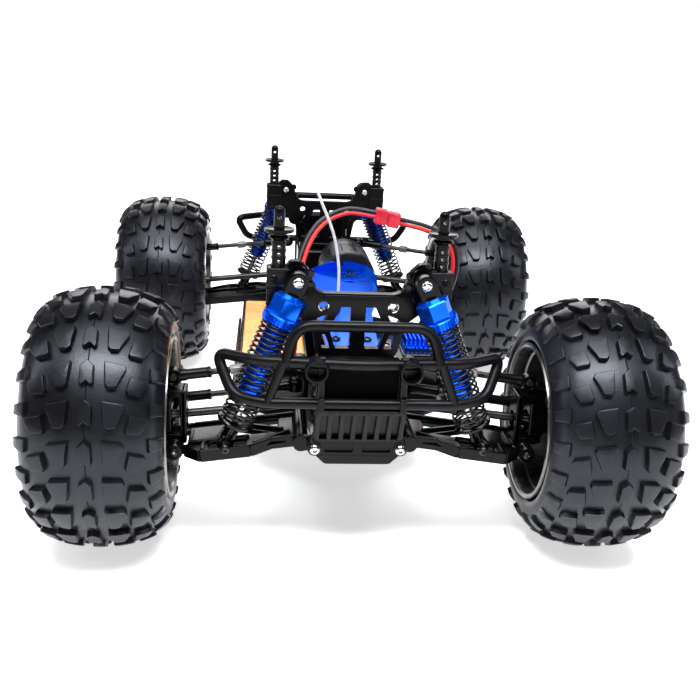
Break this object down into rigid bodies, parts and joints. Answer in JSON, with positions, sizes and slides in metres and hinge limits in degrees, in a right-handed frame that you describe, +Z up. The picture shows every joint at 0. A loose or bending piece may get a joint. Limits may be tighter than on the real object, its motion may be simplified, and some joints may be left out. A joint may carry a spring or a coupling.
{
  "type": "radio-controlled monster truck chassis",
  "caption": "Bare radio-controlled monster truck with sprung arms, steered front wheels, driven knobbly tyres, tube bumpers, battery, plugged lead and body posts.",
  "frame": {"origin": "on the ground under the middle of the truck, midway between the axles", "axes": "+X towards the truck's left side, +Y towards its tail, +Z up"},
  "size_m": [0.302, 0.4, 0.166],
  "materials": {
    "black_plastic": "semi-matt black moulded plastic",
    "blue_aluminium": "bright blue anodised",
    "rubber": "soft black tyre rubber",
    "silver_plastic": "satin silver plated plastic",
    "steel": "bright steel",
    "black_steel": "glossy black plated steel",
    "battery_wrap": "orange heat-shrink film"
  },
  "bodies": {
    "chassis": {"chassis_plate": "blue_aluminium", "radio_receiver": "black_plastic", "front_gearbox": "black_plastic", "rear_gearbox": "black_plastic", "front_shock_tower": "black_plastic", "rear_shock_tower": "black_plastic", "front_bumper": "black_plastic", "rear_bumper": "black_plastic", "steering_servo": "black_plastic", "motor_can": "black_steel", "battery_pack": "battery_wrap", "speed_controller": "black_plastic", "body_post_front_left": "black_plastic", "body_post_front_right": "black_plastic", "body_post_rear_left": "black_plastic", "body_post_rear_right": "black_plastic"},
    "arm_front_left": {"lower_arm_front_left": "black_plastic"},
    "link_front_left": {"upper_link_front_left": "black_plastic"},
    "half_shaft_front_left": {"drive_shaft_front_left": "black_steel"},
    "hub_front_left": {"hub_carrier_front_left": "black_plastic"},
    "knuckle_left": {"steering_knuckle_left": "black_plastic"},
    "wheel_front_left": {"wheel_rim_front_left": "silver_plastic", "tyre_front_left": "rubber"},
    "shock_front_left": {"shock_body_front_left": "blue_aluminium", "shock_spring_front_left": "black_steel"},
    "shock_rod_front_left": {"shock_shaft_front_left": "steel"},
    "arm_front_right": {"lower_arm_front_right": "black_plastic"},
    "link_front_right": {"upper_link_front_right": "black_plastic"},
    "half_shaft_front_right": {"drive_shaft_front_right": "black_steel"},
    "hub_front_right": {"hub_carrier_front_right": "black_plastic"},
    "knuckle_right": {"steering_knuckle_right": "black_plastic"},
    "wheel_front_right": {"wheel_rim_front_right": "silver_plastic", "tyre_front_right": "rubber"},
    "shock_front_right": {"shock_body_front_right": "blue_aluminium", "shock_spring_front_right": "black_steel"},
    "shock_rod_front_right": {"shock_shaft_front_right": "steel"},
    "arm_rear_left": {"lower_arm_rear_left": "black_plastic"},
    "link_rear_left": {"upper_link_rear_left": "black_plastic"},
    "half_shaft_rear_left": {"drive_shaft_rear_left": "black_steel"},
    "hub_rear_left": {"upright_rear_left": "black_plastic"},
    "wheel_rear_left": {"wheel_rim_rear_left": "silver_plastic", "tyre_rear_left": "rubber"},
    "shock_rear_left": {"shock_body_rear_left": "blue_aluminium", "shock_spring_rear_left": "black_steel"},
    "shock_rod_rear_left": {"shock_shaft_rear_left": "steel"},
    "arm_rear_right": {"lower_arm_rear_right": "black_plastic"},
    "link_rear_right": {"upper_link_rear_right": "black_plastic"},
    "half_shaft_rear_right": {"drive_shaft_rear_right": "black_steel"},
    "hub_rear_right": {"upright_rear_right": "black_plastic"},
    "wheel_rear_right": {"wheel_rim_rear_right": "silver_plastic", "tyre_rear_right": "rubber"},
    "shock_rear_right": {"shock_body_rear_right": "blue_aluminium", "shock_spring_rear_right": "black_steel"},
    "shock_rod_rear_right": {"shock_shaft_rear_right": "steel"},
    "rack": {"steering_link": "black_plastic"},
    "horn": {"servo_horn": "black_plastic"},
    "tie_left": {"tie_rod_left": "black_plastic"},
    "tie_right": {"tie_rod_right": "black_plastic"},
    "centre_shaft": {"centre_shaft_and_spur": "black_steel"},
    "pinion": {"motor_pinion": "steel"}
  },
  "joints": [
    {"name": "arm_swing_front_left", "type": "hinge", "parent": "chassis", "child": "arm_front_left", "pos_m": [0.026, -0.1375, 0.057], "axis": [0, -1, 0], "range_deg": [0, 18], "stiffness_Nm_per_rad": 1.5, "springref_deg": -25.78},
    {"name": "link_swing_front_left", "type": "hinge", "parent": "chassis", "child": "link_front_left", "pos_m": [0.027, -0.1375, 0.091], "axis": [0, -1, 0], "range_deg": [-0.5, 18.5]},
    {"name": "half_shaft_swing_front_left", "type": "hinge", "parent": "chassis", "child": "half_shaft_front_left", "pos_m": [0.017, -0.1375, 0.071], "axis": [0, -1, 0], "range_deg": [-0.5, 18]},
    {"name": "hub_swing_front_left", "type": "hinge", "parent": "arm_front_left", "child": "hub_front_left", "pos_m": [0.086, -0.1375, 0.049], "axis": [0, -1, 0], "range_deg": [-18.5, 0.5]},
    {"name": "steer_left", "type": "hinge", "parent": "hub_front_left", "child": "knuckle_left", "pos_m": [0.0915, -0.1375, 0.0625], "axis": [0, 0, 1], "range_deg": [-22, 22]},
    {"name": "wheel_spin_front_left", "type": "hinge", "parent": "knuckle_left", "child": "wheel_front_left", "pos_m": [0.1185, -0.1375, 0.0625], "axis": [1, 0, 0], "continuous": true},
    {"name": "shock_swing_front_left", "type": "hinge", "parent": "chassis", "child": "shock_front_left", "pos_m": [0.0293, -0.1513, 0.134], "axis": [0, -1, 0], "range_deg": [-0.2, 2.8]},
    {"name": "shock_stroke_front_left", "type": "slide", "parent": "shock_front_left", "child": "shock_rod_front_left", "axis": [-0.3764, 0, 0.9264], "range_m": [-0.0003, 0.0108], "deforming": ["shock_spring_front_left"]},
    {"name": "arm_swing_front_right", "type": "hinge", "parent": "chassis", "child": "arm_front_right", "pos_m": [-0.026, -0.1375, 0.057], "axis": [0, 1, 0], "range_deg": [0, 18], "stiffness_Nm_per_rad": 1.5, "springref_deg": -25.78},
    {"name": "link_swing_front_right", "type": "hinge", "parent": "chassis", "child": "link_front_right", "pos_m": [-0.027, -0.1375, 0.091], "axis": [0, 1, 0], "range_deg": [-0.5, 18.5]},
    {"name": "half_shaft_swing_front_right", "type": "hinge", "parent": "chassis", "child": "half_shaft_front_right", "pos_m": [-0.017, -0.1375, 0.071], "axis": [0, 1, 0], "range_deg": [-0.5, 18]},
    {"name": "hub_swing_front_right", "type": "hinge", "parent": "arm_front_right", "child": "hub_front_right", "pos_m": [-0.086, -0.1375, 0.049], "axis": [0, 1, 0], "range_deg": [-18.5, 0.5]},
    {"name": "steer_right", "type": "hinge", "parent": "hub_front_right", "child": "knuckle_right", "pos_m": [-0.0915, -0.1375, 0.0625], "axis": [0, 0, 1], "range_deg": [-22.5, 22.5]},
    {"name": "wheel_spin_front_right", "type": "hinge", "parent": "knuckle_right", "child": "wheel_front_right", "pos_m": [-0.1185, -0.1375, 0.0625], "axis": [1, 0, 0], "continuous": true},
    {"name": "shock_swing_front_right", "type": "hinge", "parent": "chassis", "child": "shock_front_right", "pos_m": [-0.0293, -0.1513, 0.134], "axis": [0, 1, 0], "range_deg": [-0.2, 2.8]},
    {"name": "shock_stroke_front_right", "type": "slide", "parent": "shock_front_right", "child": "shock_rod_front_right", "axis": [0.3764, 0, 0.9264], "range_m": [-0.0003, 0.0108], "deforming": ["shock_spring_front_right"]},
    {"name": "arm_swing_rear_left", "type": "hinge", "parent": "chassis", "child": "arm_rear_left", "pos_m": [0.026, 0.1375, 0.057], "axis": [0, -1, 0], "range_deg": [0, 18], "stiffness_Nm_per_rad": 1.5, "springref_deg": -25.78},
    {"name": "link_swing_rear_left", "type": "hinge", "parent": "chassis", "child": "link_rear_left", "pos_m": [0.027, 0.1375, 0.095], "axis": [0, -1, 0], "range_deg": [-0.5, 18.5]},
    {"name": "half_shaft_swing_rear_left", "type": "hinge", "parent": "chassis", "child": "half_shaft_rear_left", "pos_m": [0.017, 0.1375, 0.071], "axis": [0, -1, 0], "range_deg": [-0.5, 18]},
    {"name": "hub_swing_rear_left", "type": "hinge", "parent": "arm_rear_left", "child": "hub_rear_left", "pos_m": [0.096, 0.1375, 0.049], "axis": [0, -1, 0], "range_deg": [-18.5, 0.5]},
    {"name": "wheel_spin_rear_left", "type": "hinge", "parent": "hub_rear_left", "child": "wheel_rear_left", "pos_m": [0.1185, 0.1375, 0.0625], "axis": [1, 0, 0], "continuous": true},
    {"name": "shock_swing_rear_left", "type": "hinge", "parent": "chassis", "child": "shock_rear_left", "pos_m": [0.0293, 0.1513, 0.134], "axis": [0, -1, 0], "range_deg": [-0.2, 2.8]},
    {"name": "shock_stroke_rear_left", "type": "slide", "parent": "shock_rear_left", "child": "shock_rod_rear_left", "axis": [-0.3764, 0, 0.9264], "range_m": [-0.0003, 0.0108], "deforming": ["shock_spring_rear_left"]},
    {"name": "arm_swing_rear_right", "type": "hinge", "parent": "chassis", "child": "arm_rear_right", "pos_m": [-0.026, 0.1375, 0.057], "axis": [0, 1, 0], "range_deg": [0, 18], "stiffness_Nm_per_rad": 1.5, "springref_deg": -25.78},
    {"name": "link_swing_rear_right", "type": "hinge", "parent": "chassis", "child": "link_rear_right", "pos_m": [-0.027, 0.1375, 0.095], "axis": [0, 1, 0], "range_deg": [-0.5, 18.5]},
    {"name": "half_shaft_swing_rear_right", "type": "hinge", "parent": "chassis", "child": "half_shaft_rear_right", "pos_m": [-0.017, 0.1375, 0.071], "axis": [0, 1, 0], "range_deg": [-0.5, 18]},
    {"name": "hub_swing_rear_right", "type": "hinge", "parent": "arm_rear_right", "child": "hub_rear_right", "pos_m": [-0.096, 0.1375, 0.049], "axis": [0, 1, 0], "range_deg": [-18.5, 0.5]},
    {"name": "wheel_spin_rear_right", "type": "hinge", "parent": "hub_rear_right", "child": "wheel_rear_right", "pos_m": [-0.1185, 0.1375, 0.0625], "axis": [1, 0, 0], "continuous": true},
    {"name": "shock_swing_rear_right", "type": "hinge", "parent": "chassis", "child": "shock_rear_right", "pos_m": [-0.0293, 0.1513, 0.134], "axis": [0, 1, 0], "range_deg": [-0.2, 2.8]},
    {"name": "shock_stroke_rear_right", "type": "slide", "parent": "shock_rear_right", "child": "shock_rod_rear_right", "axis": [0.3764, 0, 0.9264], "range_m": [-0.0003, 0.0108], "deforming": ["shock_spring_rear_right"]},
    {"name": "rack_slide", "type": "slide", "parent": "chassis", "child": "rack", "axis": [1, 0, 0], "range_m": [-0.0078, 0.0078]},
    {"name": "horn_turn", "type": "hinge", "parent": "chassis", "child": "horn", "pos_m": [0.02, -0.098, 0.086], "axis": [0, 0, 1], "range_deg": [-23, 23]},
    {"name": "tie_swing_left", "type": "hinge", "parent": "rack", "child": "tie_left", "pos_m": [0.028, -0.1175, 0.075], "axis": [0, -1, 0], "range_deg": [-0.5, 18.5]},
    {"name": "tie_swing_right", "type": "hinge", "parent": "rack", "child": "tie_right", "pos_m": [-0.028, -0.1175, 0.075], "axis": [0, 1, 0], "range_deg": [-0.5, 18.5]},
    {"name": "centre_shaft_spin", "type": "hinge", "parent": "chassis", "child": "centre_shaft", "pos_m": [0, 0, 0.0685], "axis": [0, 1, 0], "continuous": true},
    {"name": "pinion_spin", "type": "hinge", "parent": "chassis", "child": "pinion", "pos_m": [0.012, 0, 0.08929], "axis": [0, 1, 0], "continuous": true}
  ],
  "couplings": [
    {"joint": "link_swing_front_left", "follows": "arm_swing_front_left", "ratio": 1},
    {"joint": "half_shaft_swing_front_left", "follows": "arm_swing_front_left", "ratio": 0.806},
    {"joint": "hub_swing_front_left", "follows": "arm_swing_front_left", "ratio": -1},
    {"joint": "shock_swing_front_left", "follows": "arm_swing_front_left", "ratio": 0.133},
    {"joint": "shock_stroke_front_left", "follows": "arm_swing_front_left", "m_per_rad": 0.0337},
    {"joint": "link_swing_front_right", "follows": "arm_swing_front_right", "ratio": 1},
    {"joint": "half_shaft_swing_front_right", "follows": "arm_swing_front_right", "ratio": 0.806},
    {"joint": "hub_swing_front_right", "follows": "arm_swing_front_right", "ratio": -1},
    {"joint": "wheel_spin_front_right", "follows": "wheel_spin_front_left", "ratio": 1},
    {"joint": "shock_swing_front_right", "follows": "arm_swing_front_right", "ratio": 0.133},
    {"joint": "shock_stroke_front_right", "follows": "arm_swing_front_right", "m_per_rad": 0.0337},
    {"joint": "link_swing_rear_left", "follows": "arm_swing_rear_left", "ratio": 1},
    {"joint": "half_shaft_swing_rear_left", "follows": "arm_swing_rear_left", "ratio": 0.939},
    {"joint": "hub_swing_rear_left", "follows": "arm_swing_rear_left", "ratio": -1},
    {"joint": "wheel_spin_rear_left", "follows": "wheel_spin_front_left", "ratio": 1},
    {"joint": "shock_swing_rear_left", "follows": "arm_swing_rear_left", "ratio": 0.133},
    {"joint": "shock_stroke_rear_left", "follows": "arm_swing_rear_left", "m_per_rad": 0.0337},
    {"joint": "link_swing_rear_right", "follows": "arm_swing_rear_right", "ratio": 1},
    {"joint": "half_shaft_swing_rear_right", "follows": "arm_swing_rear_right", "ratio": 0.939},
    {"joint": "hub_swing_rear_right", "follows": "arm_swing_rear_right", "ratio": -1},
    {"joint": "wheel_spin_rear_right", "follows": "wheel_spin_front_left", "ratio": 1},
    {"joint": "shock_swing_rear_right", "follows": "arm_swing_rear_right", "ratio": 0.133},
    {"joint": "shock_stroke_rear_right", "follows": "arm_swing_rear_right", "m_per_rad": 0.0337},
    {"joint": "rack_slide", "follows": "steer_left", "m_per_rad": -0.0195},
    {"joint": "horn_turn", "follows": "steer_left", "ratio": -1.02},
    {"joint": "steer_right", "follows": "steer_left", "ratio": 1},
    {"joint": "tie_swing_left", "follows": "arm_swing_front_left", "ratio": 1},
    {"joint": "tie_swing_right", "follows": "arm_swing_front_right", "ratio": 1},
    {"joint": "centre_shaft_spin", "follows": "wheel_spin_front_left", "ratio": 2.6},
    {"joint": "pinion_spin", "follows": "wheel_spin_front_left", "ratio": -7.15}
  ]
}
